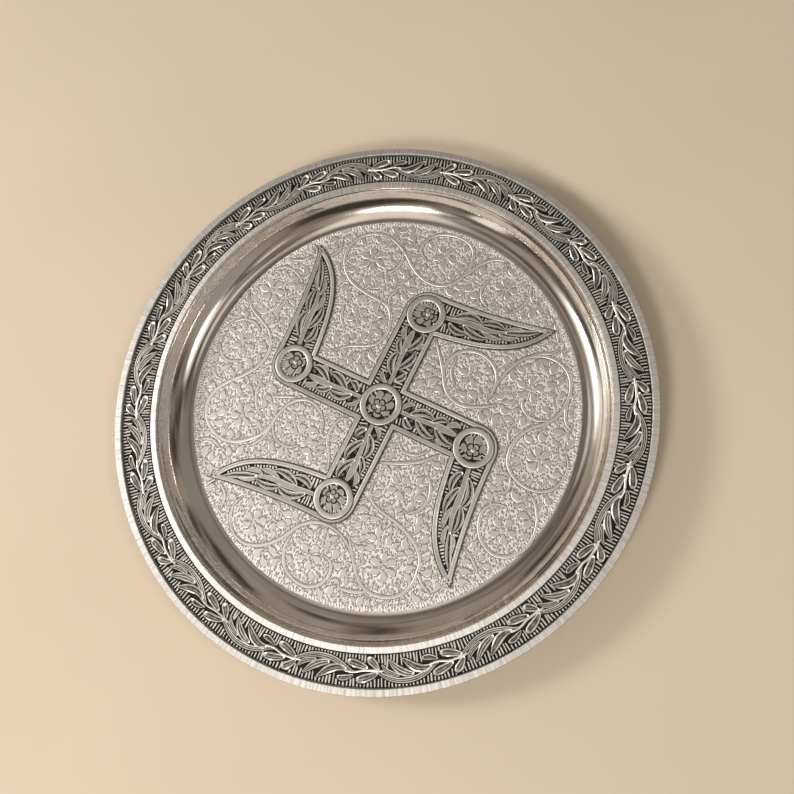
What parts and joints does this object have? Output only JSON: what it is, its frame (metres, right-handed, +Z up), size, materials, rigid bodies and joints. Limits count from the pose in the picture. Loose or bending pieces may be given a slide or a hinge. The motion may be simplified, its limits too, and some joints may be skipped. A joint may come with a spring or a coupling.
{
  "type": "puja thali",
  "caption": "Round low metal plate for worship, with a rolled edge, a vine ring on its lip and a swastik plaque on its embossed floor.",
  "frame": {"origin": "centre of the dish at the level of the surface it rests on", "axes": "+Z up out of the dish, +Y along the arm of the swastik whose blade points to +X, +X to the right of it"},
  "size_m": [0.28, 0.28, 0.0185],
  "materials": {
    "polished": "mirror polished",
    "wire": "plain drawn wire",
    "patinated": "chased, with a dark patina in the ground",
    "bright_cut": "bright cut",
    "frosted": "embossed and frosted",
    "boss": "chased, burnished on top"
  },
  "bodies": {
    "root": {"dish": "polished", "edge_wire": "wire", "vine_border": "patinated", "bright_band": "bright_cut", "floor_disc": "frosted", "swastik_plaque": "patinated", "centre_boss": "boss", "top_boss": "boss", "right_boss": "boss", "bottom_boss": "boss", "left_boss": "boss"}
  },
  "joints": []
}
